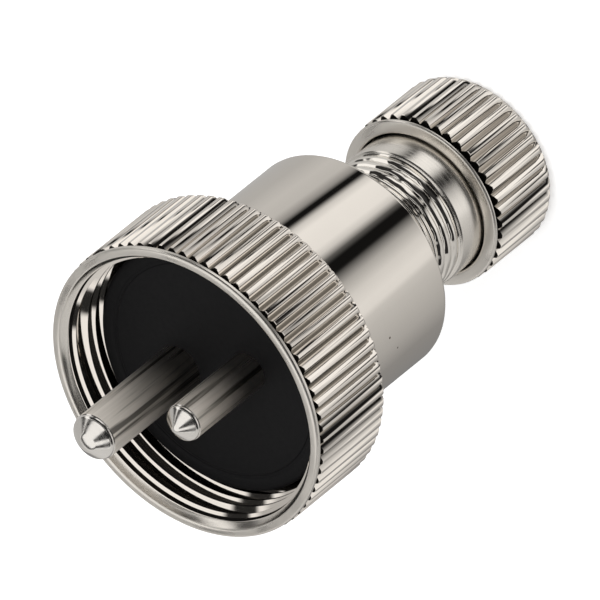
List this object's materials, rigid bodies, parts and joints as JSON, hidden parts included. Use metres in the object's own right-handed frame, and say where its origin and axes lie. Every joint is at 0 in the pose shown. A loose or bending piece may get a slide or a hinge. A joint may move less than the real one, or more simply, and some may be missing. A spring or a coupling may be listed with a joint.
{
  "type": "cable connector plug",
  "caption": "Round two-pin cable plug with a knurled screw coupling ring, a stepped metal body, a black face seal and a knurled cable gland nut.",
  "frame": {"origin": "centre of the gland nut's flat back face, on which the plug stands", "axes": "+Z along the plug's axis towards the tips of the contact pins, +X from the plug's axis towards the large pin"},
  "size_m": [0.026, 0.026, 0.0475],
  "materials": {
    "nickel_plate": "polished bright nickel-chrome plate on brass",
    "pin_metal": "polished nickel-plated brass with fine draw marks",
    "black_rubber": "matte black moulded rubber",
    "phenolic": "moulded brown-black phenolic",
    "fibre": "pressed insulating fibre",
    "brass": "plain turned brass"
  },
  "bodies": {
    "plug_body": {"contact_housing": "nickel_plate", "face_seal": "black_rubber", "insulator": "phenolic", "clamp_ring": "brass", "key_pin": "brass", "large_pin": "pin_metal", "small_pin": "pin_metal", "stud_washers": "brass", "pin_nuts": "brass", "terminal_nuts": "brass", "body_shell": "nickel_plate", "seal_ring": "black_rubber", "insulating_liner": "fibre", "grommet_seat": "brass", "gland_grommet": "black_rubber"},
    "coupling_ring": {"coupling_ring": "nickel_plate"},
    "gland_follower": {"thrust_washer": "brass"},
    "gland_nut": {"gland_nut": "nickel_plate"}
  },
  "joints": [
    {"name": "ring_spin", "type": "hinge", "parent": "plug_body", "child": "coupling_ring", "pos_m": [0, 0, 0.0345], "axis": [0, 0, 1], "continuous": true},
    {"name": "gland_travel", "type": "slide", "parent": "plug_body", "child": "gland_follower", "axis": [0, 0, 1], "range_m": [-0.004, 0]},
    {"name": "gland_spin", "type": "hinge", "parent": "gland_follower", "child": "gland_nut", "pos_m": [0, 0, 0.004], "axis": [0, 0, 1], "range_deg": [-1440, 0]}
  ],
  "couplings": [
    {"joint": "gland_travel", "follows": "gland_spin", "m_per_rad": 0.00015915}
  ]
}
